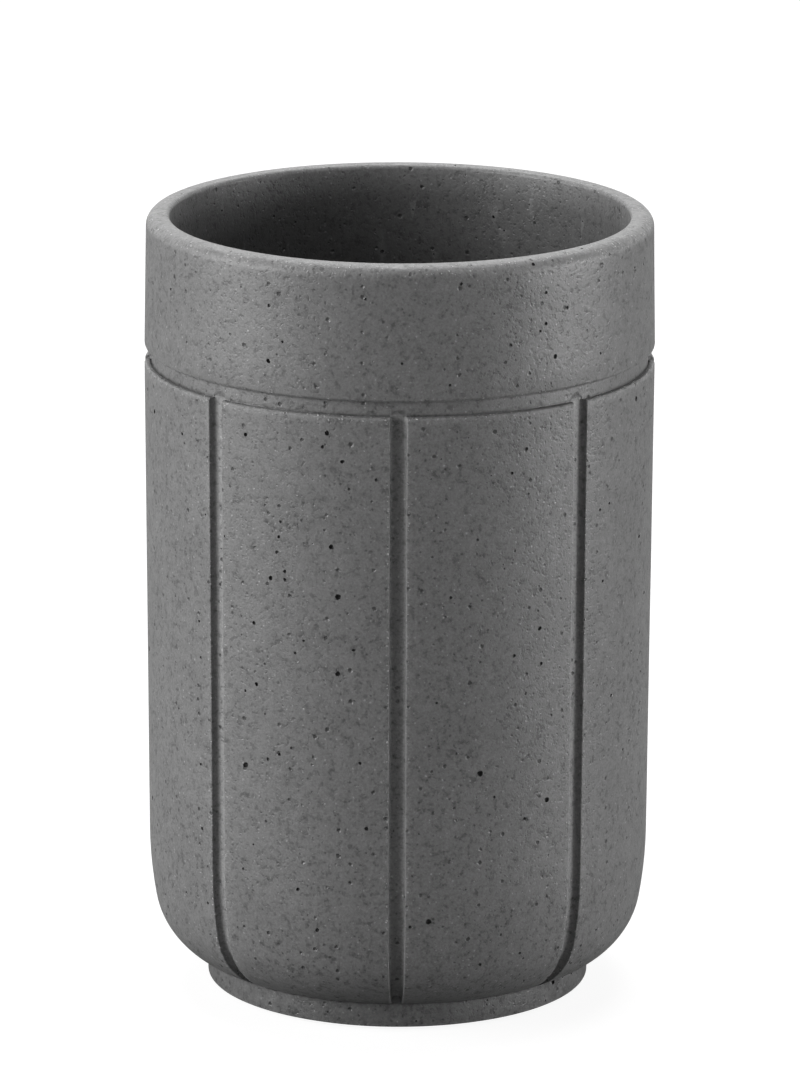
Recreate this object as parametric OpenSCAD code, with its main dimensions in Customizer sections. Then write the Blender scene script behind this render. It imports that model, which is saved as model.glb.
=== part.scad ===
// Bathroom tumbler: a cast stone cup with a plain collar, eight panels and a round foot.
// Millimetres, +Z up. The origin is the centre of the face that the tumbler stands on.
// One of the panel grooves faces -Y.

/* [Casting] */
// Height of the casting from the foot's lower face to the rim
body_h = 116; // [100:1:135]
// Diameter at the widest place, beside the ring groove
body_d = 75; // [70:0.5:84]
// Draft of the panels, which narrow towards the foot, in degrees
panel_draft = 0.35; // [0.1:0.05:1]
// Draft of the collar, which narrows towards the rim, in degrees
collar_draft = 0.95; // [0.1:0.05:2]

/* [Rounded lower corner] */
// Radius of the slow curve that starts the corner
lead_r = 60; // [45:1:75]
// Slope at which the slow curve gives way to the tight one, in degrees
lead_angle = 10; // [6:0.5:14]
// Radius of the tight curve that turns under the body
corner_r = 11.4; // [9:0.1:13]

/* [Foot] */
// Diameter of the foot
foot_d = 56.8; // [52:0.2:62]
// Height of the foot under the flat of the body
foot_h = 3.15; // [2:0.05:5]
// Rounding of the foot's lower edge
foot_edge_r = 0.5; // [0.2:0.1:1]

/* [Collar and ring groove] */
// Height of the collar above the ring groove
collar_h = 19.7; // [12:0.1:28]
// Height of the ring groove between the panels and the collar
ring_h = 2.15; // [1.4:0.05:3]
// Rounding of the collar's lower edge
collar_edge_r = 0.8; // [0.3:0.1:1.2]
// Rounding of the panels' upper edge
panel_edge_r = 0.45; // [0.2:0.05:0.8]

/* [Panel grooves] */
// Number of upright grooves, and so of panels
groove_count = 8; // [4:1:12]
// Width of an upright groove at the panels' face
groove_w = 2.4; // [1.6:0.1:3]
// Draft of each side of an upright groove, which narrows inwards, in degrees
groove_draft = 3.5; // [0:0.5:6]
// Depth of the upright grooves and of the ring groove
groove_depth = 1; // [0.7:0.05:1.3]

/* [Cup] */
// Thickness of the wall at the rim
wall_t = 3.5; // [2.5:0.1:5]
// Draft of the inside wall, in degrees
cup_draft = 1; // [0.5:0.1:2]
// Thickness of the floor above the foot's lower face
floor_t = 8; // [7:0.5:12]
// Rounding between the inside wall and the floor
cup_floor_r = 8; // [4:0.5:12]
// Rounding of the rim's outer edge
rim_outer_r = 1.8; // [0.8:0.1:2]
// Rounding of the rim's inner edge
rim_inner_r = 0.4; // [0.2:0.1:0.6]

/* [Base pad] */
// Diameter of the foam pad and of its adhesive
pad_d = 48; // [36:0.5:49]
// Thickness of the foam pad
pad_t = 1.5; // [1.3:0.1:2.5]
// Thickness of the adhesive that holds the pad
film_t = 0.2; // [0.1:0.05:0.3]
// Depth of the recess that the pad is stuck into
recess_depth = 1.2; // [0.8:0.1:1.3]
// Gap between the pad's edge and the recess, all round
pad_gap = 0.5; // [0.2:0.1:1]

/* [Hidden] */
$fn = 180;

// Quarter turn, and how far a cut runs past the face that it opens
quarter = 90;
overrun = 1;
// How far a curve stands proud of the line that it runs out of, so that the two cross cleanly
tuck = 0.002;
// The foot's root reaches this far into the body, above the grooves' floors and inside its own edge
foot_root = 1.5;

// Levels from the standing face upwards
foot_z = pad_t + film_t - recess_depth;
under_z = foot_z + foot_h;
top_z = foot_z + body_h;
collar_z = top_z - collar_h;
panel_z = collar_z - ring_h;
floor_z = foot_z + floor_t;
root_z = under_z + groove_depth + foot_root;

// Radius of each drafted wall at a height
function panel_r(z) = body_d / 2 - (panel_z - z) * tan(panel_draft);
function collar_r(z) = body_d / 2 - (z - collar_z) * tan(collar_draft);
function cup_r(z) = collar_r(top_z) - wall_t - (top_z - z) * tan(cup_draft);

// Point on a circle, where the angle runs from straight outwards down to straight down
function at(c, r, a) = [c[0] + r * cos(a), c[1] - r * sin(a)];

// Centre of an arc that rounds the corner between a wall with this draft and a flat face
function top_arc(wall, r, draft, face) = [wall - r / cos(draft) + tuck, face - r + tuck];
function bottom_arc(wall, r, draft, face) = [wall - r / cos(draft) + tuck, face + r - tuck];

// The tight curve ends level with the body's flat, and the slow curve runs out of it up the wall
corner_z = under_z + corner_r;
lead_end_z = corner_z - corner_r * sin(lead_angle);
lead_c_z = lead_end_z + lead_r * sin(lead_angle);
lead_z = lead_c_z - lead_r * sin(panel_draft);
lead_c = [panel_r(lead_z) - (lead_r - tuck) * cos(panel_draft), lead_c_z];
lead_end = at(lead_c, lead_r, lead_angle);
corner_c = [lead_end[0] - (corner_r - tuck) * cos(lead_angle), corner_z];

// Centres of the small roundings
panel_edge_c = top_arc(panel_r(panel_z - panel_edge_r), panel_edge_r, panel_draft, panel_z);
collar_edge_c = bottom_arc(collar_r(collar_z + collar_edge_r), collar_edge_r, collar_draft, collar_z);
rim_outer_c = top_arc(collar_r(top_z - rim_outer_r), rim_outer_r, collar_draft, top_z);
cup_floor_c = bottom_arc(cup_r(floor_z + cup_floor_r), cup_floor_r, cup_draft, floor_z);
foot_edge_c = bottom_arc(foot_d / 2, foot_edge_r, 0, foot_z);
rim_inner_c = [cup_r(top_z - rim_inner_r) + rim_inner_r / cos(cup_draft) - tuck,
               top_z - rim_inner_r + tuck];

// What a rounded upper or lower edge leaves: its disc, all on the far side and all nearer the axis
module round_top(c, r) {
    translate(c) circle(r);
    square([body_d, c[1]]);
    square([c[0], body_h * 2]);
}

module round_bottom(c, r) {
    translate(c) circle(r);
    translate([0, c[1]]) square([body_d, body_h]);
    square([c[0], body_h * 2]);
}

// Half outline of the panelled body, drawn in by an inset all round, up to a level
module body_outline(inset, top) {
    flat_z = under_z + inset;
    draw_in = inset / cos(panel_draft);
    intersection() {
        polygon([[0, flat_z], [panel_r(flat_z) - draw_in, flat_z], [panel_r(top) - draw_in, top],
                 [0, top]]);
        union() {
            translate(lead_c) circle(lead_r - inset);
            translate([0, lead_z]) square([body_d, body_h]);
        }
        union() {
            translate(corner_c) circle(corner_r - inset);
            translate([0, lead_end_z]) square([body_d, body_h]);
            square([corner_c[0], body_h]);
        }
    }
}

// The panels as one whole turn, before the upright grooves part them
module panels_outline() {
    intersection() {
        body_outline(0, panel_z);
        round_top(panel_edge_c, panel_edge_r);
    }
}

// The core, whose face is the floor of the grooves, runs on up into the collar
module core_outline() {
    body_outline(groove_depth, collar_z + groove_depth);
}

// Half outline of the collar, whole, with its rounded lower edge and rim
module collar_outline() {
    intersection() {
        polygon([[0, collar_z], [collar_r(collar_z), collar_z], [collar_r(top_z), top_z], [0, top_z]]);
        round_bottom(collar_edge_c, collar_edge_r);
        round_top(rim_outer_c, rim_outer_r);
    }
}

// Half outline of the foot, with its root inside the body
module foot_outline() {
    intersection() {
        translate([0, foot_z]) square([foot_d / 2, root_z - foot_z]);
        round_bottom(foot_edge_c, foot_edge_r);
    }
}

// Half outline of the hollow, open at the rim, with the rim's inner edge eased
module cup_outline() {
    mouth_z = top_z + overrun;
    eased = rim_inner_r * 2;
    intersection() {
        polygon([[0, floor_z], [cup_r(floor_z), floor_z], [cup_r(mouth_z), mouth_z], [0, mouth_z]]);
        round_bottom(cup_floor_c, cup_floor_r);
    }
    difference() {
        translate([rim_inner_c[0] - eased, rim_inner_c[1]]) square([eased, mouth_z - rim_inner_c[1]]);
        translate(rim_inner_c) circle(rim_inner_r);
    }
}

// What parts two panels: an upright slot from outside the panels to inside the foot's edge
module slot() {
    near = foot_d / 2 - foot_root;
    far = body_d / 2 + overrun;
    near_half = groove_w / 2 - (body_d / 2 - near) * tan(groove_draft);
    far_half = groove_w / 2 + overrun * tan(groove_draft);
    translate([0, 0, under_z - overrun]) linear_extrude(height = panel_z - under_z + overrun * 2)
        polygon([[near, -near_half], [far, -far_half], [far, far_half], [near, near_half]]);
}

// Eight panels stand proud of the core, and core, collar and foot are turned as one
module cast_body() {
    color([0.43, 0.43, 0.43]) difference() {
        union() {
            difference() {
                rotate_extrude() panels_outline();
                for (i = [0 : groove_count - 1])
                    rotate([0, 0, i * 360 / groove_count - quarter]) slot();
            }
            rotate_extrude() {
                core_outline();
                collar_outline();
                foot_outline();
            }
        }
        rotate_extrude() cup_outline();
        translate([0, 0, foot_z - overrun])
            cylinder(d = pad_d + 2 * pad_gap, h = recess_depth + overrun);
    }
}

module pad_adhesive() {
    color([0.85, 0.84, 0.78]) translate([0, 0, pad_t]) cylinder(d = pad_d, h = film_t);
}

module base_pad() {
    color([0.12, 0.12, 0.12]) cylinder(d = pad_d, h = pad_t);
}

cast_body();
pad_adhesive();
base_pad();
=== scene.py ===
"""Looks of the cast stone bathroom tumbler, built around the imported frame.

The casting is one skin. Its half outline is written in the real sizes, one panel's width of
it is made as a mesh, with a groove down the middle, and that is set eight times round the
axis. Air holes are then cut into the stone. All sizes are in millimetres until a mesh is
made, and in metres from there on.
"""
import math

import bpy
import numpy as np
from mathutils import Matrix, Vector


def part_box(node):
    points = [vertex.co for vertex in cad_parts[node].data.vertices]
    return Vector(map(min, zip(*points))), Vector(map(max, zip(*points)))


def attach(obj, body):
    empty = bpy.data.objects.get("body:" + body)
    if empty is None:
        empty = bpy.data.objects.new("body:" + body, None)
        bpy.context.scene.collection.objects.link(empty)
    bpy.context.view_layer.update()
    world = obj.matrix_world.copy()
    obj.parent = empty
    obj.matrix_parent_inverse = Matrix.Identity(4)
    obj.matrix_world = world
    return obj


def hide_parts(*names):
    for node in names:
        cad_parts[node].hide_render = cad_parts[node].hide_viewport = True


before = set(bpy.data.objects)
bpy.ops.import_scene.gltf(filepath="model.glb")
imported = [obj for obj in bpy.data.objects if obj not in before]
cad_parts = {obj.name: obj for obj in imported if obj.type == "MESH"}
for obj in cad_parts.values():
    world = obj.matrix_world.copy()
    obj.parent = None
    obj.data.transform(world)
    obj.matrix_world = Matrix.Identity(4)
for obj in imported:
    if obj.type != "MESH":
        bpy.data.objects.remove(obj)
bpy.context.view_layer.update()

MM = 0.001
SAME_POINT = 1e-6

# Levels of the casting, from the face that the tumbler stands on
FOOT_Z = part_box("cast_body")[0].z / MM
TOP_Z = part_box("cast_body")[1].z / MM
PAD_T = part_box("base_pad")[1].z / MM
CEILING_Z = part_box("pad_adhesive")[1].z / MM

# Casting
BODY_R = 37.5
PANEL_DRAFT = math.radians(0.35)
COLLAR_DRAFT = math.radians(0.95)
LEAD_R = 60.0
LEAD_ANGLE = math.radians(10)
CORNER_R = 11.4
FOOT_R = 28.4
FOOT_H = 3.15
FOOT_EDGE_R = 0.5
COLLAR_H = 19.7
RING_H = 2.15
COLLAR_EDGE_R = 0.55
PANEL_EDGE_R = 0.45

# Grooves
PANELS = 8
GROOVE_W = 2.4
GROOVE_DRAFT = math.radians(3.5)
RING_DEPTH = 1.0
EXTRA_DEPTH = 0.12
LIP_R = 0.24
GROOVE_FILLET = 0.35
RING_FILLET = 0.22
ARCH_HALF_W = 1.1
ARCH_H = 0.95
# Where the extra depth ends in the ring groove, and over how much it fades, in arch sizes
ARCH_END = 1.08
ARCH_FADE = 0.2
# Turn of a place on the casting from the front, and how far the grooves there are off it
GROOVE_TURNS = ((-180, 0), (-45, 0), (0, -0.2), (45, -0.95), (90, 0), (180, 0))

# Cup
WALL_T = 3.5
CUP_DRAFT = math.radians(1)
FLOOR_T = 8.0
CUP_FLOOR_R = 8.0
RIM_OUTER_R = 1.8
RIM_INNER_R = 0.75

# How worn the edges are, with the painted highlight that goes with the wear, and how much painted
# shade lies in the creases, from 0 to 1, row by row where they vary
RECESS_EDGE_WEAR = 0.3
FOOT_EDGE_WEAR = (0.0, 0.1, 0.2, 0.2, 0.1, 0.0)
# Painted shade on the foot's wall under the body, and where the body meets the foot
FOOT_WALL_PAINTED_SHADE = (0.4, 0.4, 0.4, 0.45, 0.6, 0.75)
FOOT_ROOT_PAINTED_SHADE = (0.75, 0.5, 0.3, 0.15, 0.05)
# Painted highlight along the panels' upper edge, on top of its wear
PANEL_EDGE_WEAR_AND_HIGHLIGHT = (0.6, 0.9, 1.0, 1.0, 1.0, 1.0)
# Painted light on the collar's lower edge, which faces down into shade
COLLAR_EDGE_PAINTED_LIGHT = (0.0, 0.2, 0.33, 0.4, 0.33, 0.2, 0.0)
# Painted sheen on the rim's outer edge, top and inner edge, on top of their wear
RIM_OUTER_WEAR_AND_SHEEN = (0.0, 0.2, 0.4, 0.58, 0.68, 0.7, 0.68, 0.58, 0.48, 0.4)
RIM_TOP_WEAR_AND_SHEEN = 0.33
RIM_INNER_WEAR_AND_SHEEN = (0.33, 0.4, 0.4, 0.4, 0.3, 0.15, 0.0)
# Painted highlight along the grooves' lips, on top of their wear
LIP_WEAR_AND_HIGHLIGHT = 0.6
# How far a lip's wear and painted highlight reach: onto the panel, in mm, and into the groove,
# in lip radii
WEAR_AND_HIGHLIGHT_BAND = 0.35
WEAR_AND_HIGHLIGHT_DEPTH = 2.5
# Painted shade at the arched ends of the upright grooves
ARCH_PAINTED_SHADE = 0.45

# Rows where the panels end in the ring groove, with a thin line of painted shade between them:
# out from the ring groove's floor, up from the panels' top, wear and painted highlight, and
# painted shade in the crease
LINE_ROWS = (
    (0.3, 0.0, 1.0, 0.0),
    (0.15, 0.0, 0.5, 0.5),
    (0.04, -0.18, 0.0, 1.0),
    (0.0, -0.18, 0.0, 1.0),
    (0.0, 0.06, 0.0, 0.75),
    (0.0, 0.2, 0.0, 0.35),
)
# The next two rows up the ring groove's floor, and the painted shade that is left in the crease
# at the first
FADE_Z, FADE_PAINTED_SHADE = 0.32, 0.1
CLEAN_Z = 0.5

# Base pad
PAD_R = 24.0
PAD_GAP = 0.5
RECESS_FILLET = 0.15
FOAM_INSET = 0.12
FOAM_FLAT_INSET = 0.25
FOAM_EDGE_R = 0.22
FOAM_BULGE = 0.1
FILM_INSET = 0.2
FILM_TAPER = 0.05
# Radii of the rows on the faces of both discs
DISC_ROWS = (0, 8, 16)

# Radii of the rows next to the middle of the recess and of the cup's floor
FIRST_R = 6.0
LAST_R = 5.0
# Rows on the foot's wall: up from its rounded edge, and down from where the body rests on it
FOOT_ROWS_UP = (0.0, 1.0)
FOOT_ROWS_DOWN = (0.9, 0.35, 0.15, 0.0)
# How far below the panels' rounded edge their even rows end
EDGE_CLEARANCE = 0.7
# How the columns on a panel crowd towards its groove, as a power
PANEL_CROWDING = 1.3
# How far the arches keep off the ring groove's two edges
RING_CLEARANCE = 0.3

UNDER_Z = FOOT_Z + FOOT_H
COLLAR_Z = TOP_Z - COLLAR_H
PANEL_Z = COLLAR_Z - RING_H
FLOOR_Z = FOOT_Z + FLOOR_T
GROOVE_DEPTH = RING_DEPTH + EXTRA_DEPTH


def panel_r(z):
    return BODY_R - (PANEL_Z - z) * math.tan(PANEL_DRAFT)


def collar_r(z):
    return BODY_R - (z - COLLAR_Z) * math.tan(COLLAR_DRAFT)


def cup_r(z):
    return collar_r(TOP_Z) - WALL_T - (TOP_Z - z) * math.tan(CUP_DRAFT)


def on_arc(centre, radius, angle):
    """A point on a circle; the angle rises from straight outwards."""
    return (centre[0] + radius * math.cos(angle), centre[1] + radius * math.sin(angle))


def arc(centre, radius, start, end, steps):
    return [on_arc(centre, radius, start + (end - start) * i / steps) for i in range(steps + 1)]


def straight(start, end, steps):
    """Points from start to end, both included."""
    return [
        tuple(a + (b - a) * i / steps for a, b in zip(start, end)) for i in range(steps + 1)
    ]


# Centres of the curves of the half outline, as in the part's source
CORNER_Z = UNDER_Z + CORNER_R
LEAD_END_Z = CORNER_Z - CORNER_R * math.sin(LEAD_ANGLE)
LEAD_C_Z = LEAD_END_Z + LEAD_R * math.sin(LEAD_ANGLE)
LEAD_Z = LEAD_C_Z - LEAD_R * math.sin(PANEL_DRAFT)
LEAD_C = (panel_r(LEAD_Z) - LEAD_R * math.cos(PANEL_DRAFT), LEAD_C_Z)
CORNER_C = (
    on_arc(LEAD_C, LEAD_R, -LEAD_ANGLE)[0] - CORNER_R * math.cos(LEAD_ANGLE),
    CORNER_Z,
)
UP, DOWN = math.pi / 2, -math.pi / 2


class Outline:
    """Rows of the casting's skin, from the middle of the recess round to the cup's floor.

    Each row has a point on the panels' face and one on the grooves' floor, which are the
    same where there is no groove. It also says how worn the row is, with the painted highlight
    that goes with the wear, where it lies on an edge, and how much painted shade it has in a
    crease, each from 0 to 1. The cup's inside starts at mouth_row.
    """

    def __init__(self):
        self.face, self.floor, self.worn, self.crease_shaded = [], [], [], []
        self.mouth_row = None

    def plain(self, points, worn=0.0, crease_shaded=0.0):
        self.grooved(points, points, worn, crease_shaded)

    def grooved(self, face, floor, worn=0.0, crease_shaded=0.0):
        """Adds rows. Their wear with its painted highlight, and their painted crease shade, are
        one number, or one for each row.
        """
        wears_and_highlights = worn if isinstance(worn, tuple) else (worn,) * len(face)
        crease_shades = crease_shaded if isinstance(crease_shaded, tuple) else (crease_shaded,) * len(face)
        for near, far, wear_and_highlight, painted_crease_shade in zip(face, floor, wears_and_highlights, crease_shades):
            if self.face and math.dist(near + far, self.face[-1] + self.floor[-1]) < SAME_POINT:
                self.worn[-1] = max(self.worn[-1], wear_and_highlight)
                self.crease_shaded[-1] = max(self.crease_shaded[-1], painted_crease_shade)
                continue
            self.face.append(near)
            self.floor.append(far)
            self.worn.append(wear_and_highlight)
            self.crease_shaded.append(painted_crease_shade)


def casting_outline():
    rows = Outline()
    # Recess for the pad, the foot's lower face and its wall
    recess_r = PAD_R + PAD_GAP
    ceiling_c = (recess_r - RECESS_FILLET, CEILING_Z - RECESS_FILLET)
    mouth_c = (recess_r + RECESS_FILLET, FOOT_Z + RECESS_FILLET)
    rows.plain([(0.0, CEILING_Z)])
    rows.plain(straight((FIRST_R, CEILING_Z), (ceiling_c[0], CEILING_Z), steps=3))
    rows.plain(arc(ceiling_c, RECESS_FILLET, UP, 0, steps=2))
    rows.plain(arc(mouth_c, RECESS_FILLET, math.pi, math.pi * 1.5, steps=3), RECESS_EDGE_WEAR)
    foot_c = (FOOT_R - FOOT_EDGE_R, FOOT_Z + FOOT_EDGE_R)
    rows.plain(straight((mouth_c[0], FOOT_Z), (foot_c[0], FOOT_Z), steps=2))
    rows.plain(arc(foot_c, FOOT_EDGE_R, DOWN, 0, steps=5), FOOT_EDGE_WEAR)
    # Where the body rests on the foot, and where a groove's floor does
    out = FOOT_R - CORNER_C[0]
    root = math.acos(out / CORNER_R)
    floor_r = CORNER_R - GROOVE_DEPTH
    floor_root = math.acos(out / floor_r)
    root_z = on_arc(CORNER_C, CORNER_R, -root)[1]
    floor_root_z = on_arc(CORNER_C, floor_r, -floor_root)[1]
    wall = [foot_c[1] + up for up in FOOT_ROWS_UP] + [root_z - down for down in FOOT_ROWS_DOWN]
    # Painted shade on the foot's wall and where the body meets it
    rows.plain([(FOOT_R, z) for z in wall], crease_shaded=FOOT_WALL_PAINTED_SHADE)
    rows.grooved(
        arc(CORNER_C, CORNER_R, -root, -floor_root, steps=4),
        straight((FOOT_R, root_z), (FOOT_R, floor_root_z), steps=4),
        crease_shaded=FOOT_ROOT_PAINTED_SHADE,
    )
    # Rounded lower corner: the tight curve, then the slow one
    rows.grooved(
        arc(CORNER_C, CORNER_R, -floor_root, -LEAD_ANGLE, steps=17),
        arc(CORNER_C, floor_r, -floor_root, -LEAD_ANGLE, steps=17),
    )
    rows.grooved(
        arc(LEAD_C, LEAD_R, -LEAD_ANGLE, -PANEL_DRAFT, steps=5),
        arc(LEAD_C, LEAD_R - GROOVE_DEPTH, -LEAD_ANGLE, -PANEL_DRAFT, steps=5),
    )
    # Panels, with their rounded upper edge, which a thin line parts from the ring groove
    edge_z = PANEL_Z - PANEL_EDGE_R
    edge_c = (panel_r(edge_z) - PANEL_EDGE_R, edge_z)
    ring_r = panel_r(PANEL_Z) - RING_DEPTH
    heights = [z for _, z in straight((0, LEAD_Z), (0, edge_z - EDGE_CLEARANCE), steps=26)[1:]]
    rows.grooved(
        [(panel_r(z), z) for z in heights],
        [(panel_r(z) - GROOVE_DEPTH, z) for z in heights],
    )
    edge_rows = arc(edge_c, PANEL_EDGE_R, 0, UP, steps=5)
    line_rows = [(ring_r + out, PANEL_Z + up) for out, up, _, _ in LINE_ROWS]
    rise = line_rows[-1][1] - edge_z
    shares = np.linspace(0, 1, len(edge_rows + line_rows))
    # Painted highlight along the panels' upper edge, and painted shade in the thin line below the
    # ring
    rows.grooved(
        edge_rows + line_rows,
        [(ring_r - EXTRA_DEPTH, edge_z + rise * share) for share in shares],
        PANEL_EDGE_WEAR_AND_HIGHLIGHT + tuple(wear_and_highlight for _, _, wear_and_highlight, _ in LINE_ROWS),
        (0.0,) * len(edge_rows) + tuple(painted_crease_shade for _, _, _, painted_crease_shade in LINE_ROWS),
    )
    ring_top = COLLAR_Z - RING_FILLET
    rows.plain([(ring_r, PANEL_Z + FADE_Z)], crease_shaded=FADE_PAINTED_SHADE)
    rows.plain(straight((ring_r, PANEL_Z + CLEAN_Z), (ring_r, ring_top), steps=7))
    rows.plain(arc((ring_r + RING_FILLET, ring_top), RING_FILLET, math.pi, UP, steps=3))
    # Collar and rim
    edge_z = COLLAR_Z + COLLAR_EDGE_R
    edge_c = (collar_r(edge_z) - COLLAR_EDGE_R, edge_z)
    # Painted light on the collar's lower edge
    rows.plain(arc(edge_c, COLLAR_EDGE_R, DOWN, 0, steps=6), COLLAR_EDGE_PAINTED_LIGHT)
    rim_z = TOP_Z - RIM_OUTER_R
    rim_c = (collar_r(rim_z) - RIM_OUTER_R, rim_z)
    rows.plain(straight((collar_r(edge_z), edge_z), (collar_r(rim_z), rim_z), steps=6))
    # Painted sheen on the rim, with its wear
    rows.plain(arc(rim_c, RIM_OUTER_R, 0, UP, steps=9), RIM_OUTER_WEAR_AND_SHEEN)
    inner_z = TOP_Z - RIM_INNER_R
    inner_c = (cup_r(inner_z) + RIM_INNER_R, inner_z)
    rows.plain(straight((rim_c[0], TOP_Z), (inner_c[0], TOP_Z), steps=2), RIM_TOP_WEAR_AND_SHEEN)
    rows.plain(arc(inner_c, RIM_INNER_R, UP, math.pi, steps=6), RIM_INNER_WEAR_AND_SHEEN)
    rows.mouth_row = len(rows.face)
    # Inside of the cup
    floor_c_z = FLOOR_Z + CUP_FLOOR_R
    floor_c = (cup_r(floor_c_z) - CUP_FLOOR_R, floor_c_z)
    rows.plain(straight((cup_r(inner_z), inner_z), (cup_r(floor_c_z), floor_c_z), steps=24))
    rows.plain(arc(floor_c, CUP_FLOOR_R, 0, DOWN, steps=9))
    rows.plain(straight((floor_c[0], FLOOR_Z), (LAST_R, FLOOR_Z), steps=3))
    rows.plain([(0.0, FLOOR_Z)])
    return rows


def half_width(radius):
    """Half the groove's width at a radius, between its drafted sides."""
    return GROOVE_W / 2 - (BODY_R - radius) * math.tan(GROOVE_DRAFT)


def groove_columns():
    """Columns across half a groove and half a panel: kind, depth, and place.

    The place is a share of the groove's floor, an offset in mm from the groove's side, or a
    share of the half panel.
    """
    depth, fillet = GROOVE_DEPTH, GROOVE_FILLET
    columns = [("floor", depth, share) for share in (0.0, 0.5)]
    for turn in np.linspace(UP, 0, num=4):
        columns.append(
            ("side", depth - fillet + fillet * math.sin(turn), fillet * (math.cos(turn) - 1))
        )
    for turn in np.linspace(0, UP, num=5):
        columns.append(
            ("side", LIP_R - LIP_R * math.sin(turn), LIP_R * (1 - math.cos(turn)))
        )
    shares = np.linspace(0, 1, num=11)[1:] ** PANEL_CROWDING
    columns += [("panel", 0.0, share) for share in shares]
    return columns


def arched_end(away, height):
    """How much of its extra depth a groove still has where it ends in the ring groove."""
    reach = np.hypot(away / ARCH_HALF_W, np.maximum(height - PANEL_Z, 0) / ARCH_H)
    return np.clip((ARCH_END - reach) / ARCH_FADE, 0, 1)


def sector_mesh(rows, columns):
    """One panel's width of the casting's skin, with a groove down the middle, facing -Y."""
    face, floor = np.array(rows.face), np.array(rows.floor)
    in_ring = (face[:, 0] < panel_r(PANEL_Z) - RING_DEPTH + SAME_POINT) & (
        np.abs(face[:, 1] - (PANEL_Z + COLLAR_Z) / 2) < RING_H / 2 - RING_CLEARANCE
    )
    carved = np.minimum(np.linalg.norm(floor - face, axis=1) / GROOVE_DEPTH, 1)
    half_turn = math.pi / PANELS
    points = []
    looks = {"wear_and_highlight": [], "painted_crease_shade": [], "sunk": [], "inside": []}
    for kind, depth, place in columns:
        share = depth / GROOVE_DEPTH
        line = face + (floor - face) * share
        radius = np.maximum(line[:, 0], FOOT_R)
        half = half_width(radius)
        lip = np.arcsin((half + LIP_R) / radius)
        if kind == "floor":
            turn = np.arcsin(place * (half - GROOVE_FILLET) / radius)
            edge = np.zeros(len(face))
        elif kind == "side":
            turn = np.arcsin((half + place) / radius)
            edge = np.full(len(face), LIP_WEAR_AND_HIGHLIGHT * max(0.0, 1 - depth / (WEAR_AND_HIGHLIGHT_DEPTH * LIP_R)))
        else:
            turn = lip + (half_turn - lip) * place
            edge = LIP_WEAR_AND_HIGHLIGHT * np.exp(-(turn - lip) * radius / WEAR_AND_HIGHLIGHT_BAND)
        arch = in_ring * arched_end(line[:, 0] * np.sin(turn), line[:, 1])
        line[:, 0] -= arch * EXTRA_DEPTH
        points.append(
            np.stack([line[:, 0] * np.sin(turn), -line[:, 0] * np.cos(turn), line[:, 1]], 1)
        )
        # Painted shade in creases and at the arched ends, painted highlight with the wear, and
        # painted light on the grooves' sides and floor
        crease_shaded = np.array(rows.crease_shaded) * (1 - share * (carved > 0))
        looks["wear_and_highlight"].append(np.maximum(np.array(rows.worn) * (1 - share), edge * carved))
        looks["painted_crease_shade"].append(np.maximum(crease_shaded, arch * ARCH_PAINTED_SHADE))
        looks["sunk"].append(share * carved * (kind != "panel"))
        looks["inside"].append(np.arange(len(face)) >= rows.mouth_row)
    mirrored = [p * (-1, 1, 1) for p in points[:0:-1]]
    grid = np.array(mirrored + points) * MM
    across, along = grid.shape[:2]
    index = np.arange(across * along).reshape(across, along)
    quads = np.stack(
        [index[:-1, 1:-2], index[1:, 1:-2], index[1:, 2:-1], index[:-1, 2:-1]], -1
    ).reshape(-1, 4)
    # The first and last rows lie on the axis, so their faces are triangles on one shared point
    start, end = np.zeros(across - 1, int), np.full(across - 1, along - 1)
    first = np.stack([start, index[1:, 1], index[:-1, 1]], -1)
    last = np.stack([end, index[:-1, -2], index[1:, -2]], -1)
    mesh = bpy.data.meshes.new("casting_sector")
    mesh.from_pydata(
        grid.reshape(-1, 3).tolist(), [], quads.tolist() + first.tolist() + last.tolist()
    )
    for name, half in looks.items():
        shares = np.array(half[:0:-1] + half, np.float32)
        mesh.attributes.new(name, "FLOAT", "POINT").data.foreach_set("value", shares.ravel())
    return mesh


def settle_grooves(mesh):
    """Turns the grooves a little, as the photographed casting's own are not quite evenly set."""
    points = np.zeros(len(mesh.vertices) * 3, np.float32)
    mesh.vertices.foreach_get("co", points)
    x, y, z = points.reshape(-1, 3).T
    turn = np.degrees(np.arctan2(x, -y))
    turn += np.interp(turn, *zip(*GROOVE_TURNS))
    radius = np.hypot(x, y)
    turn = np.radians(turn)
    settled = np.stack([radius * np.sin(turn), -radius * np.cos(turn), z], 1)
    mesh.vertices.foreach_set("co", settled.ravel().astype(np.float32))
    mesh.update()


class Value:
    """A socket that gives a number: a sum with it adds Math nodes to its tree."""

    def __init__(self, tree, socket):
        self.tree, self.socket = tree, socket

    def _math(self, operation, *terms):
        return self.tree.make(
            "ShaderNodeMath", {"operation": operation}, dict(enumerate(terms))
        )

    def __add__(self, other):
        return self._math("ADD", self, other)

    def __sub__(self, other):
        return self._math("SUBTRACT", self, other)

    def __rsub__(self, other):
        return self._math("SUBTRACT", other, self)

    def __mul__(self, other):
        return self._math("MULTIPLY", self, other)

    def __truediv__(self, other):
        return self._math("DIVIDE", self, other)

    def __pow__(self, other):
        return self._math("POWER", self, other)

    __radd__ = __add__
    __rmul__ = __mul__

    def least(self, other):
        return self._math("MINIMUM", self, other)

    def most(self, other):
        return self._math("MAXIMUM", self, other)


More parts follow.
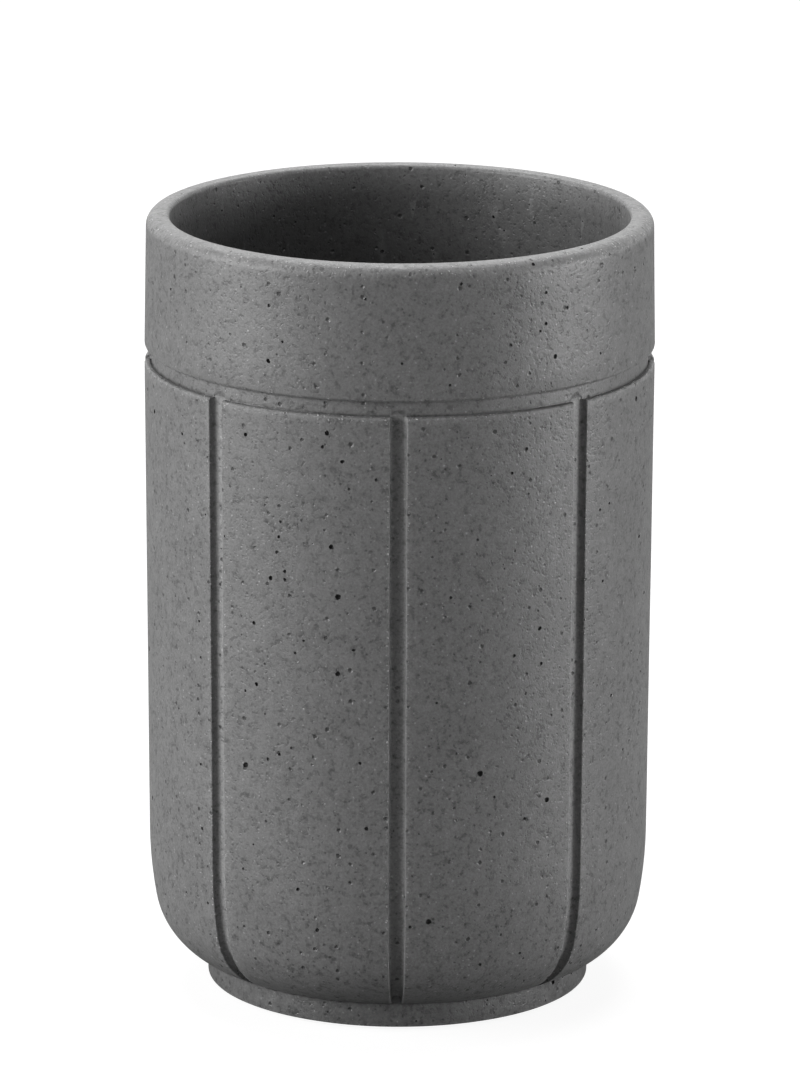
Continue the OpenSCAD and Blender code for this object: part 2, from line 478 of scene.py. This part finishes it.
class Tree:
    """Adds nodes to a tree by type, settings and inputs, which are values or links."""

    def __init__(self, tree):
        self.tree = tree

    def node(self, kind, settings=None, inputs=None):
        node = self.tree.nodes.new(kind)
        for name, setting in (settings or {}).items():
            setattr(node, name, setting)
        for name, given in (inputs or {}).items():
            self.give(node.inputs[name], given)
        return node

    def give(self, socket, given):
        if isinstance(given, Value):
            self.tree.links.new(given.socket, socket)
        else:
            socket.default_value = given

    def make(self, kind, settings=None, inputs=None, output=0):
        """A node whose result is used: a Value of one output."""
        return Value(self, self.node(kind, settings, inputs).outputs[output])


# Keeps a speck's radius, in cells, off zero
LEAST_REACH = 0.0001


class Finish(Tree):
    """A material's tree, with the patterns that the tumbler's finishes share."""

    def __init__(self, name, **shader):
        self.material = bpy.data.materials.new(name)
        self.material.use_nodes = True
        super().__init__(self.material.node_tree)
        self.shader = self.tree.nodes["Principled BSDF"]
        for socket, given in shader.items():
            self.shader.inputs[socket.replace("_", " ")].default_value = given
        self.place = self.make("ShaderNodeTexCoord", output="Object")

    def set(self, socket, given):
        self.give(self.shader.inputs[socket], given)

    def noise(self, size, detail=2.0, roughness=0.5):
        """Cloudy pattern from 0 to 1, with features of this size in metres."""
        return self.make(
            "ShaderNodeTexNoise",
            inputs={
                "Vector": self.place,
                "Scale": 1 / size,
                "Detail": detail,
                "Roughness": roughness,
            },
            output="Fac",
        )

    def shaken(self, size, far):
        """The place, moved up to this far by a cloudy pattern, which makes edges ragged."""
        cloud = self.make(
            "ShaderNodeTexNoise",
            inputs={"Vector": self.place, "Scale": 1 / size, "Detail": 1.0},
            output="Color",
        )
        centred = self.make(
            "ShaderNodeVectorMath", {"operation": "SUBTRACT"}, {0: cloud, 1: (0.5, 0.5, 0.5)}
        )
        step = self.make(
            "ShaderNodeVectorMath", {"operation": "SCALE"}, {0: centred, "Scale": far * 2}
        )
        return self.make(
            "ShaderNodeVectorMath", {"operation": "ADD"}, {0: self.place, 1: step}
        )

    def specks(self, cell, radius, share, place, soft):
        """Specks, one in a share of cells of this size, with radii up to this one.

        Soft is the part of the radius over which a speck fades out at its edge.
        """
        cells = self.node(
            "ShaderNodeTexVoronoi", inputs={"Vector": place, "Scale": 1 / cell}
        )
        near = Value(self, cells.outputs["Distance"])
        draw = self.make(
            "ShaderNodeSeparateColor", inputs={"Color": Value(self, cells.outputs["Color"])}
        )
        size = (draw - (1 - share)).most(0.0) / share
        reach = size ** 0.5 * (radius / cell) + LEAST_REACH
        return ((reach - near) / (reach * soft)).most(0.0).least(1.0)

    def range(self, value, low, high, to_low=0.0, to_high=1.0):
        """The value, stretched from low to high onto another range, and held within it."""
        return self.make(
            "ShaderNodeMapRange",
            {"clamp": True},
            {
                "Value": value,
                "From Min": low,
                "From Max": high,
                "To Min": to_low,
                "To Max": to_high,
            },
        )

    def tinted(self, shade, tint):
        """A colour from a brightness: the tint times it."""
        node = self.node("ShaderNodeMix", {"data_type": "RGBA", "blend_type": "MULTIPLY"})
        node.inputs["Factor"].default_value = 1.0
        self.give(node.inputs[6], (*tint, 1))
        grey = self.make(
            "ShaderNodeCombineColor", inputs={"Red": shade, "Green": shade, "Blue": shade}
        )
        self.give(node.inputs[7], grey)
        return Value(self, node.outputs[2])

    def bump(self, height, distance):
        """Relief from a height of 0 to 1, which stands for this distance in metres."""
        relief = self.make(
            "ShaderNodeBump",
            inputs={"Height": height, "Distance": distance, "Strength": 1.0},
        )
        self.set("Normal", relief)


def attribute(finish, name):
    return finish.make("ShaderNodeAttribute", {"attribute_name": name}, output="Fac")


# Cast stone: how far each of its features shades or lights the paste
STONE_TINT = (0.162, 0.162, 0.162)
STONE_IOR = 1.43
STONE_ROUGHNESS = 0.38
STONE_RELIEF = 0.00011
PASTE_LEVEL = 1.11
BLOT_SHADE = 0.5
DARK_GRAIN_SHADE = 0.6
# Painted shade in the pinholes
PINHOLE_PAINTED_SHADE = 0.68
PALE_GRAIN_LIGHT = 0.9
# Painted glints and highlight on the worn edges, and the paste shade taken off under them
PAINTED_GLINT_LIGHT = 3.6
WEAR_AND_HIGHLIGHT_GRAIN = 0.45
WEAR_AND_HIGHLIGHT_PASTE_SHADE = 0.12
# Painted shade in the creases
CREASE_PAINTED_SHADE = 0.85
# Painted shade inside the air holes
HOLLOW_PAINTED_SHADE = 0.8
# The upright grooves and the inside of the cup, as the photograph shows them beside the faces
# Painted light on the floors and sides of the upright grooves
GROOVE_PAINTED_LIGHT = 0.5
# Painted shade on the whole inside of the cup
INSIDE_PAINTED_SHADE = 0.34


def cast_stone():
    """Grey cast stone: clouded paste, dark and pale grains, painted glints and highlights on its
    worn edges, painted light in its grooves, and painted shade in its pinholes, creases, air
    holes and cup.
    """
    stone = Finish("cast_stone", IOR=STONE_IOR)
    ragged = stone.shaken(size=0.0004, far=0.00014)
    clouds = stone.noise(0.011, detail=3.0)
    mottle = stone.noise(0.0022, detail=3.0, roughness=0.6)
    grain = stone.noise(0.00036, detail=2.0, roughness=0.7)
    clusters = stone.range(mottle, 0.38, 0.6, to_low=1.0, to_high=0.4)
    cloudlets = stone.noise(0.0009, detail=3.0, roughness=0.62)
    blots = stone.range(cloudlets, 0.34, 0.5, to_low=1.0, to_high=0.0)
    dark = stone.specks(cell=0.00075, radius=0.0003, share=0.6, place=ragged, soft=0.7)
    # Pinholes, darkened as painted shade
    pinholes = stone.specks(cell=0.0017, radius=0.00042, share=0.4, place=ragged, soft=0.5)
    pale = stone.specks(cell=0.0008, radius=0.00022, share=0.5, place=ragged, soft=0.8)
    # Glints, painted as highlights on the worn edges
    glints = stone.specks(cell=0.0005, radius=0.0002, share=0.55, place=ragged, soft=0.8)
    # Edge wear, which also carries painted highlights and glints
    wear_and_highlight = attribute(stone, "wear_and_highlight")
    uneven = stone.range(stone.noise(0.0013), 0.35, 0.6, to_low=0.5)
    # Painted shade inside the air holes, uneven
    hollow = attribute(stone, "hollow") * uneven
    # Painted shade on the inside of the cup
    inside = attribute(stone, "inside")
    # Painted light on the grooves' floors and sides
    sunk = attribute(stone, "sunk")
    broken = stone.range(stone.noise(0.0012), 0.35, 0.65, to_low=0.6)
    # Painted shade in the creases, broken up by a cloudy pattern
    painted_crease_shade = attribute(stone, "painted_crease_shade") * broken
    shade = (
        stone.range(clouds, 0.3, 0.7, to_low=0.955, to_high=1.045)
        * stone.range(mottle, 0.3, 0.7, to_low=0.92, to_high=1.08)
        * stone.range(grain, 0.25, 0.75, to_low=0.78, to_high=1.22)
    )
    shade = shade * (PASTE_LEVEL - blots * clusters * BLOT_SHADE)
    shade = shade * (1 - dark * clusters * DARK_GRAIN_SHADE)
    # Worn edges paler, with painted highlights and painted glints on them
    worn = wear_and_highlight * (glints * PAINTED_GLINT_LIGHT + grain * WEAR_AND_HIGHLIGHT_GRAIN - WEAR_AND_HIGHLIGHT_PASTE_SHADE)
    # Painted shade in the pinholes, then the pale grains and the worn, highlighted edges
    shade = shade * (1 - pinholes * PINHOLE_PAINTED_SHADE) + pale * PALE_GRAIN_LIGHT + worn
    # Painted light in the grooves and painted shade in the creases
    shade = shade * (1 + sunk * GROOVE_PAINTED_LIGHT) * (1 - painted_crease_shade * CREASE_PAINTED_SHADE)
    # Painted shade inside the air holes and on the inside of the cup
    shade = shade * (1 - hollow * HOLLOW_PAINTED_SHADE) * (1 - inside * INSIDE_PAINTED_SHADE)
    stone.set("Base Color", stone.tinted(shade, STONE_TINT))
    stone.set("Roughness", STONE_ROUGHNESS + wear_and_highlight * 0.22 - pale * 0.1 + hollow * 0.5)
    pits = blots * 0.2 + dark * 0.3 + pinholes * 1.2
    bits = grain * 0.2 + pale * 0.2 + glints * wear_and_highlight * 1.6
    stone.bump(bits - pits, STONE_RELIEF)
    return stone.material


FOAM_TINT = (0.032, 0.032, 0.034)
FOAM_CELL = 0.00055
FOAM_RELIEF = 0.00012


def pad_foam():
    """Dark closed-cell foam: small cells and slight clouds."""
    foam = Finish("pad_foam")
    cells = foam.node(
        "ShaderNodeTexVoronoi", inputs={"Vector": foam.place, "Scale": 1 / FOAM_CELL}
    )
    wall = Value(foam, cells.outputs["Distance"])
    clouds = foam.noise(0.004, detail=3.0)
    shade = (
        foam.range(wall, 0.0, 0.6, to_low=0.7, to_high=1.25)
        * foam.range(clouds, 0.3, 0.7, to_low=0.9, to_high=1.1)
    )
    foam.set("Base Color", foam.tinted(shade, FOAM_TINT))
    foam.set("Roughness", foam.range(clouds, 0.3, 0.7, to_low=0.86, to_high=0.96))
    foam.bump(wall + clouds * 0.3, FOAM_RELIEF)
    return foam.material


FILM_TINT = (0.62, 0.6, 0.52)
FILM_RELIEF = 0.00002


def film_adhesive():
    """Cream acrylic film, a little cloudy."""
    film = Finish("film_adhesive")
    clouds = film.noise(0.003, detail=4.0)
    ripples = film.noise(0.0008, detail=2.0)
    shade = (
        film.range(clouds, 0.3, 0.7, to_low=0.92, to_high=1.04)
        * film.range(ripples, 0.3, 0.7, to_low=0.97, to_high=1.03)
    )
    film.set("Base Color", film.tinted(shade, FILM_TINT))
    film.set("Roughness", film.range(clouds, 0.3, 0.7, to_low=0.38, to_high=0.55))
    film.bump(ripples, FILM_RELIEF)
    return film.material


class Recipe(Tree):
    """A Geometry Nodes tree with named inputs, each with its kind of socket and its value."""

    def __init__(self, name, inputs):
        group = bpy.data.node_groups.new(name, "GeometryNodeTree")
        super().__init__(group)
        sockets = {"Geometry": "NodeSocketGeometry"}
        sockets.update({n: kind for n, (kind, _) in inputs.items()})
        self.given = {n: given for n, (_, given) in inputs.items()}
        self.identifiers = {
            n: group.interface.new_socket(n, in_out="INPUT", socket_type=kind).identifier
            for n, kind in sockets.items()
        }
        group.interface.new_socket("Geometry", in_out="OUTPUT", socket_type="NodeSocketGeometry")
        entry = group.nodes.new("NodeGroupInput")
        self.inputs = {n: Value(self, entry.outputs[n]) for n in sockets}
        self.leave = group.nodes.new("NodeGroupOutput")

    def join(self, *parts):
        node = self.node("GeometryNodeJoinGeometry")
        for part in parts:
            self.tree.links.new(part.socket, node.inputs[0])
        return Value(self, node.outputs[0])

    def leave_with(self, geometry, material=None):
        """Ends the tree: real copies, with their material."""
        inputs = {"Geometry": self.make("GeometryNodeRealizeInstances", inputs={0: geometry})}
        if material is not None:
            inputs["Material"] = material
        self.give(self.leave.inputs[0], self.make("GeometryNodeSetMaterial", inputs=inputs))

    def run(self, name, mesh):
        """Runs the tree on a mesh, and gives the result as a plain object."""
        source = bpy.data.objects.new(name + "_source", mesh)
        bpy.context.scene.collection.objects.link(source)
        modifier = source.modifiers.new("recipe", "NODES")
        modifier.node_group = self.tree
        for socket, given in self.given.items():
            modifier[self.identifiers[socket]] = given
        evaluated = source.evaluated_get(bpy.context.evaluated_depsgraph_get())
        made = bpy.data.meshes.new_from_object(evaluated)
        source.modifiers.remove(modifier)
        bpy.data.objects.remove(source)
        made.name = name
        piece = bpy.data.objects.new(name, made)
        bpy.context.scene.collection.objects.link(piece)
        return piece


def holes_object(table, outline):
    """Points at the larger air holes, each with its width."""
    face = np.array(outline.face)
    wall = (face[:, 0] >= FOOT_R) & (np.arange(len(face)) < face[:, 1].argmax())
    places, widths = [], []
    for turn, height, width in table:
        radius = np.interp(height, face[wall, 1], face[wall, 0])
        turn = math.radians(turn)
        places.append((radius * math.sin(turn) * MM, -radius * math.cos(turn) * MM, height * MM))
        widths.append(width * MM)
    mesh = bpy.data.meshes.new("larger_holes")
    mesh.from_pydata(places, [], [])
    mesh.attributes.new("width", "FLOAT", "POINT").data.foreach_set("value", widths)
    marks = bpy.data.objects.new("larger_holes", mesh)
    bpy.context.scene.collection.objects.link(marks)
    return marks


def panels_round_the_axis():
    """Sets the sector round the axis, welds it, and gives the faces a slight unevenness."""
    recipe = Recipe(
        "panels_round_the_axis",
        {
            "Panels": ("NodeSocketInt", PANELS),
            "Weld distance": ("NodeSocketFloat", 2e-6),
            "Unevenness": ("NodeSocketFloat", 0.00008),
            "Waves per metre": ("NodeSocketFloat", 50.0),
        },
    )
    given = recipe.inputs
    number = recipe.make("GeometryNodeInputIndex")
    turn = number * (2 * math.pi) / given["Panels"]
    points = recipe.make("GeometryNodePoints", inputs={"Count": given["Panels"]})
    spin = recipe.make("ShaderNodeCombineXYZ", inputs={"Z": turn})
    placed = recipe.make(
        "GeometryNodeInstanceOnPoints",
        inputs={"Points": points, "Instance": given["Geometry"], "Rotation": spin},
    )
    real = recipe.make("GeometryNodeRealizeInstances", inputs={0: placed})
    welded = recipe.make(
        "GeometryNodeMergeByDistance",
        inputs={"Geometry": real, "Distance": given["Weld distance"]},
    )
    cloud = recipe.make(
        "ShaderNodeTexNoise",
        inputs={
            "Vector": recipe.make("GeometryNodeInputPosition"),
            "Scale": given["Waves per metre"],
            "Detail": 1.0,
        },
        output="Fac",
    )
    inwards = recipe.make(
        "ShaderNodeVectorMath",
        {"operation": "SCALE"},
        {0: recipe.make("GeometryNodeInputNormal"), "Scale": cloud * given["Unevenness"] * -1.0},
    )
    recipe.leave_with(
        recipe.make("GeometryNodeSetPosition", inputs={"Geometry": welded, "Offset": inwards})
    )
    return recipe


# A hole's bubble, in widths of the hole, and how sharply small holes outnumber large ones
BUBBLE_R = 0.53
BUBBLE_SINK = 0.16
SMALL_BIAS = 4
RAGGED_WAVES_PER_METRE = 2200.0


def air_holes(marks, stone):
    """Cuts the larger holes at their marks, and smaller ones at random away from them."""
    recipe = Recipe(
        "air_holes",
        {
            "Larger holes": ("NodeSocketObject", marks),
            "Stone": ("NodeSocketMaterial", stone),
            "Seed": ("NodeSocketInt", 23),
            "Holes per square metre": ("NodeSocketFloat", 9000.0),
            "Least spacing": ("NodeSocketFloat", 0.0022),
            "Clear of larger holes": ("NodeSocketFloat", 0.009),
            "Smallest width": ("NodeSocketFloat", 0.0003),
            "Largest width": ("NodeSocketFloat", 0.0009),
            "Raggedness": ("NodeSocketFloat", 0.45),
        },
    )
    given = recipe.inputs
    casting = given["Geometry"]
    position = recipe.make("GeometryNodeInputPosition")
    marked = recipe.make(
        "GeometryNodeMeshToPoints",
        inputs={
            "Mesh": recipe.make(
                "GeometryNodeObjectInfo",
                inputs={"Object": given["Larger holes"]},
                output="Geometry",
            )
        },
    )
    strewn = recipe.make(
        "GeometryNodeDistributePointsOnFaces",
        {"distribute_method": "POISSON"},
        {
            "Mesh": casting,
            "Distance Min": given["Least spacing"],
            "Density Max": given["Holes per square metre"],
            "Seed": given["Seed"],
        },
    )
    draw = recipe.make(
        "FunctionNodeRandomValue",
        {"data_type": "FLOAT"},
        {2: 0.0, 3: 1.0, "Seed": given["Seed"]},
        output=1,
    )
    span = given["Largest width"] - given["Smallest width"]
    sized = recipe.make(
        "GeometryNodeStoreNamedAttribute",
        {"data_type": "FLOAT", "domain": "POINT"},
        {
            "Geometry": strewn,
            "Name": "width",
            "Value": given["Smallest width"] + span * draw ** SMALL_BIAS,
        },
    )
    away = recipe.make(
        "GeometryNodeProximity",
        {"target_element": "POINTS"},
        {0: marked, "Sample Position": position},
        output="Distance",
    )
    near_mark = recipe.make(
        "FunctionNodeCompare",
        {"data_type": "FLOAT", "operation": "LESS_THAN"},
        {0: away, 1: given["Clear of larger holes"]},
    )
    clear = recipe.make(
        "GeometryNodeDeleteGeometry",
        {"domain": "POINT"},
        {"Geometry": sized, "Selection": near_mark},
    )
    places = recipe.join(marked, clear)
    width = recipe.make(
        "GeometryNodeInputNamedAttribute", {"data_type": "FLOAT"}, {"Name": "width"}
    )
    outwards = recipe.make(
        "GeometryNodeSampleNearestSurface",
        {"data_type": "FLOAT_VECTOR"},
        {
            "Mesh": casting,
            "Value": recipe.make("GeometryNodeInputNormal"),
            "Sample Position": position,
        },
    )
    upright = recipe.make(
        "FunctionNodeAlignRotationToVector", {"axis": "Z"}, {"Vector": outwards}
    )
    sunk = recipe.make(
        "GeometryNodeSetPosition",
        inputs={
            "Geometry": places,
            "Offset": recipe.make(
                "ShaderNodeVectorMath",
                {"operation": "SCALE"},
                {0: outwards, "Scale": width * -BUBBLE_SINK},
            ),
        },
    )
    bubble = recipe.make(
        "GeometryNodeMeshIcoSphere", inputs={"Radius": BUBBLE_R, "Subdivisions": 2}
    )
    bubbles = recipe.make(
        "GeometryNodeInstanceOnPoints",
        inputs={"Points": sunk, "Instance": bubble, "Rotation": upright, "Scale": width},
    )
    hollows = recipe.make("GeometryNodeRealizeInstances", inputs={0: bubbles})
    ragged = recipe.make(
        "ShaderNodeTexNoise",
        inputs={"Vector": position, "Scale": RAGGED_WAVES_PER_METRE, "Detail": 0.0},
        output="Color",
    )
    centred = recipe.make(
        "ShaderNodeVectorMath", {"operation": "SUBTRACT"}, {0: ragged, 1: (0.5, 0.5, 0.5)}
    )
    shaken = recipe.make(
        "GeometryNodeSetPosition",
        inputs={
            "Geometry": hollows,
            "Offset": recipe.make(
                "ShaderNodeVectorMath",
                {"operation": "SCALE"},
                {0: centred, "Scale": width * given["Raggedness"]},
            ),
        },
    )
    # Marks the bubbles' faces, which take painted shade inside the holes
    marked_inside = recipe.make(
        "GeometryNodeStoreNamedAttribute",
        {"data_type": "FLOAT", "domain": "FACE"},
        {"Geometry": shaken, "Name": "hollow", "Value": 1.0},
    )
    cut = recipe.node(
        "GeometryNodeMeshBoolean",
        {"operation": "DIFFERENCE", "solver": "MANIFOLD"},
        {"Mesh 1": casting, "Mesh 2": marked_inside},
    )
    smooth = recipe.make(
        "GeometryNodeSetShadeSmooth",
        {"domain": "FACE"},
        {"Geometry": Value(recipe, cut.outputs["Mesh"])},
    )
    crisp = recipe.make(
        "GeometryNodeSetShadeSmooth",
        {"domain": "EDGE"},
        {
            "Geometry": smooth,
            "Selection": Value(recipe, cut.outputs["Intersecting Edges"]),
            "Shade Smooth": False,
        },
    )
    recipe.leave_with(crisp, given["Stone"])
    return recipe


# The larger air holes that show from the front: turn from the front in degrees,
# height and width
LARGER_HOLES = (
    # Left-hand panel, from the top down
    (-16, 92, 0.75), (-36, 90.4, 0.65), (-17, 90, 0.5), (-12.5, 88, 0.6), (-5, 85.5, 0.45),
    (-11, 84, 0.45), (-27, 78.3, 0.4), (-27.5, 76, 0.5), (-15, 75.3, 0.72), (-28, 73.7, 0.5),
    (-26, 71, 0.5), (-29.5, 69.7, 0.65), (-26, 69.8, 0.45), (-13.5, 68, 0.85), (-34, 62.6, 0.6),
    (-21.5, 61, 0.4), (-10, 60.2, 0.5), (-23.5, 59, 0.45), (-13.5, 56.5, 0.75), (-33.5, 53.5, 0.6),
    (-36.5, 52.2, 0.4), (-24.5, 44.7, 0.45), (-27.5, 43.5, 0.48), (-8.5, 43.3, 0.45),
    (-30.5, 42.5, 0.5), (-36.5, 41, 0.9), (-7, 33.5, 0.65), (-23, 23.5, 0.55), (-18.5, 17.5, 0.6),
    # Right-hand panel
    (29, 89, 0.5), (25.5, 85.7, 0.5), (17.5, 76.3, 0.4), (11.5, 68, 0.45), (33, 62, 0.58),
    (26.5, 58.5, 0.55), (33.5, 56.7, 0.5), (8.5, 52.4, 0.4), (13, 44.7, 0.4), (18.5, 41.4, 0.88),
    (22, 37.6, 0.4), (35.5, 36, 0.82), (29.5, 33.7, 0.5), (29.5, 13, 0.48), (19.5, 12, 0.5),
    # Panels at the sides
    (-57, 88, 0.45), (-51, 60.8, 0.45), (-50.5, 55.4, 0.4), (-50.5, 29.4, 0.48), (-49, 18.2, 0.45),
    (51, 77.7, 0.45), (54.5, 78.2, 0.4), (56.5, 49, 0.44), (62.5, 39.8, 0.4),
    # Collar
    (31, 115.8, 0.55), (13.5, 113.9, 0.45), (-7.5, 111.8, 0.42), (34, 111.5, 0.48),
    (-30, 109.8, 0.48), (40, 108.8, 0.42), (-62.5, 108.7, 0.4), (34, 107, 0.55), (32.5, 106, 0.4),
    (-26.5, 104.8, 0.4), (25, 104.5, 0.5), (0.5, 102.6, 0.42), (36.5, 101.9, 0.72),
    (-30, 101.7, 0.6), (50.5, 101, 0.4), (11, 99.3, 0.42),
)


def turned(name, outline, material, steps=128):
    """A disc turned from a half outline, which starts and ends on the axis."""
    rows = np.array(outline) * MM
    turns = np.arange(steps) * 2 * math.pi / steps
    body = rows[1:-1]
    grid = np.stack(
        [
            body[:, None, 0] * np.cos(turns),
            body[:, None, 0] * np.sin(turns),
            np.repeat(body[:, None, 1], steps, 1),
        ],
        -1,
    )
    count = len(body) * steps
    points = grid.reshape(-1, 3).tolist() + [(0, 0, rows[0, 1]), (0, 0, rows[-1, 1])]
    index = np.arange(count).reshape(len(body), steps)
    after = np.roll(index, -1, 1)
    sides = np.stack([index[:-1], after[:-1], after[1:], index[1:]], -1).reshape(-1, 4)
    first = [(count, after[0, i], index[0, i]) for i in range(steps)]
    last = [(count + 1, index[-1, i], after[-1, i]) for i in range(steps)]
    mesh = bpy.data.meshes.new(name)
    mesh.from_pydata(points, [], sides.tolist() + first + last)
    mesh.shade_smooth()
    mesh.materials.append(material)
    piece = bpy.data.objects.new(name, mesh)
    bpy.context.scene.collection.objects.link(piece)
    return piece


def foam_disc():
    """The pad: its die-cut edge bulges a little where the tumbler's weight presses it."""
    flat_r = PAD_R - FOAM_INSET - FOAM_FLAT_INSET
    edge_r = flat_r + FOAM_EDGE_R
    height = PAD_T - 2 * FOAM_EDGE_R
    outline = [(radius, 0) for radius in DISC_ROWS] + [(flat_r, 0)]
    outline += arc((flat_r, FOAM_EDGE_R), FOAM_EDGE_R, DOWN, 0, steps=5)[1:]
    outline += [
        (edge_r + FOAM_BULGE * math.sin(math.pi * s), FOAM_EDGE_R + height * s)
        for s in np.linspace(0, 1, num=7)
    ]
    outline += arc((flat_r, PAD_T - FOAM_EDGE_R), FOAM_EDGE_R, 0, UP, steps=5)
    outline += [(radius, PAD_T) for radius in reversed(DISC_ROWS)]
    return turned("foam_pad", outline, pad_foam())


def film_disc():
    """The film, whose cut edge stands out a little at half its thickness."""
    edge = PAD_R - FILM_INSET
    outline = [(radius, PAD_T) for radius in DISC_ROWS]
    outline += [(edge - FILM_TAPER, PAD_T), (edge, (PAD_T + CEILING_Z) / 2)]
    outline += [(edge - FILM_TAPER, CEILING_Z)]
    outline += [(radius, CEILING_Z) for radius in reversed(DISC_ROWS)]
    return turned("adhesive_film", outline, film_adhesive())


# Soft studio lamps: turn from the front and rise in degrees, width and height in metres, and
# the level at which each lights a white face turned straight at it
LAMPS = {
    "left_strip": (-88, 10, 0.3, 0.9, 0.46),
    "left_front_strip": (-70, 10, 0.5, 0.9, 0.97),
    "left_fill": (-51, 8, 0.3, 0.9, 0.21),
    "right_strip": (86, 0, 0.5, 0.45, 0.78),
    "right_front_strip": (70, 0, 0.3, 0.12, 0.21),
    "right_fill": (52, 10, 0.3, 0.9, 0.1),
    "back_softbox": (180, 45, 0.9, 0.6, 0.25),
    "top_softbox": (180, 70, 0.7, 0.7, 0.9),
}
LAMP_DISTANCE = 1.0
LAMP_AIM = Vector((0, 0, 0.06))
ROOM_LEVEL = 0.026
FLOOR_HALF_SIZE = 3.0
FLOOR_GREY = 0.18
FLOOR_GLOW = 0.91


def lamps():
    for name, (turn, rise, width, height, level) in LAMPS.items():
        turn, rise = math.radians(turn), math.radians(rise)
        way = Vector(
            (math.sin(turn) * math.cos(rise), -math.cos(turn) * math.cos(rise), math.sin(rise))
        )
        light = bpy.data.lights.new(name, "AREA")
        light.shape = "RECTANGLE"
        light.size, light.size_y = width, height
        light.energy = level * math.pi**2 * LAMP_DISTANCE**2
        lamp = bpy.data.objects.new(name, light)
        lamp.location = LAMP_AIM + way * LAMP_DISTANCE
        lamp.rotation_euler = way.to_track_quat("Z", "Y").to_euler()
        bpy.context.scene.collection.objects.link(lamp)


def seen_share(tree):
    """1 for what the camera, a reflection or glass sees, and 0 for light that bounces."""
    path = tree.node("ShaderNodeLightPath")
    camera, glossy, through = (
        Value(tree, path.outputs[name])
        for name in ("Is Camera Ray", "Is Glossy Ray", "Is Transmission Ray")
    )
    return (camera + glossy + through).least(1.0)


def room():
    """A plain room: white where it is seen, and an even soft level on the object."""
    world = bpy.data.worlds.new("room")
    world.use_nodes = True
    bpy.context.scene.world = world
    tree = Tree(world.node_tree)
    background = world.node_tree.nodes["Background"]
    background.inputs["Color"].default_value = (1, 1, 1, 1)
    level = ROOM_LEVEL + (1 - ROOM_LEVEL) * seen_share(tree)
    tree.give(background.inputs["Strength"], level)


def pale_floor():
    """A matt floor that the camera sees nearly white, with the tumbler's shadow on it."""
    floor_material = bpy.data.materials.new("pale_floor")
    floor_material.use_nodes = True
    tree = Tree(floor_material.node_tree)
    shader = tree.tree.nodes["Principled BSDF"]
    path = tree.node("ShaderNodeLightPath")
    glow = Value(tree, path.outputs["Is Camera Ray"]) * FLOOR_GLOW
    shader.inputs["Base Color"].default_value = (FLOOR_GREY, FLOOR_GREY, FLOOR_GREY, 1)
    shader.inputs["Roughness"].default_value = 1.0
    shader.inputs["Specular IOR Level"].default_value = 0.0
    tree.give(
        shader.inputs["Emission Color"],
        tree.make("ShaderNodeCombineColor", inputs={"Red": glow, "Green": glow, "Blue": glow}),
    )
    shader.inputs["Emission Strength"].default_value = 1.0
    mesh = bpy.data.meshes.new("floor")
    corners = [
        (x * FLOOR_HALF_SIZE, y * FLOOR_HALF_SIZE, 0)
        for x, y in ((-1, -1), (1, -1), (1, 1), (-1, 1))
    ]
    mesh.from_pydata(corners, [], [(0, 1, 2, 3)])
    mesh.materials.append(floor_material)
    floor = bpy.data.objects.new("floor", mesh)
    bpy.context.scene.collection.objects.link(floor)


# The camera, fitted to the photograph's outlines: metres, radians and a lens in millimetres
CAMERA_PLACE = (0.0, -1.07015, 0.34794)
CAMERA_DOWN = 0.25594
CAMERA_TURN = 0.00014
CAMERA_ROLL = 0.00362
CAMERA_LENS = 252.5
SENSOR_W = 36.0
CLIP = (0.05, 20.0)


def photo_camera():
    """The photograph's own viewpoint."""
    forward = Vector((
        math.sin(CAMERA_TURN) * math.cos(CAMERA_DOWN),
        math.cos(CAMERA_TURN) * math.cos(CAMERA_DOWN),
        -math.sin(CAMERA_DOWN),
    ))
    level = Vector((math.cos(CAMERA_TURN), -math.sin(CAMERA_TURN), 0))
    upright = level.cross(forward)
    across = math.cos(CAMERA_ROLL) * level + math.sin(CAMERA_ROLL) * upright
    up = math.cos(CAMERA_ROLL) * upright - math.sin(CAMERA_ROLL) * level
    data = bpy.data.cameras.new("camera")
    data.lens = CAMERA_LENS
    data.sensor_width = SENSOR_W
    data.clip_start, data.clip_end = CLIP
    camera = bpy.data.objects.new("camera", data)
    camera.matrix_world = Matrix.Translation(CAMERA_PLACE) @ Matrix(
        (across, up, -forward)
    ).transposed().to_4x4()
    bpy.context.scene.collection.objects.link(camera)
    bpy.context.scene.camera = camera


outline = casting_outline()
skin = panels_round_the_axis().run("casting_skin", sector_mesh(outline, groove_columns()))
settle_grooves(skin.data)
marks = holes_object(LARGER_HOLES, outline)
casting = air_holes(marks, cast_stone()).run("stone_casting", skin.data)
bpy.data.objects.remove(skin)
bpy.data.objects.remove(marks)
pad = foam_disc()
film = film_disc()
for piece, node, slot in (
    (casting, "cast_body", "cast_stone"),
    (film, "pad_adhesive", "adhesive"),
    (pad, "base_pad", "foam"),
):
    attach(piece, "root")
    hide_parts(node)

lamps()
room()
pale_floor()
photo_camera()
bpy.context.scene.view_settings.view_transform = "Standard"
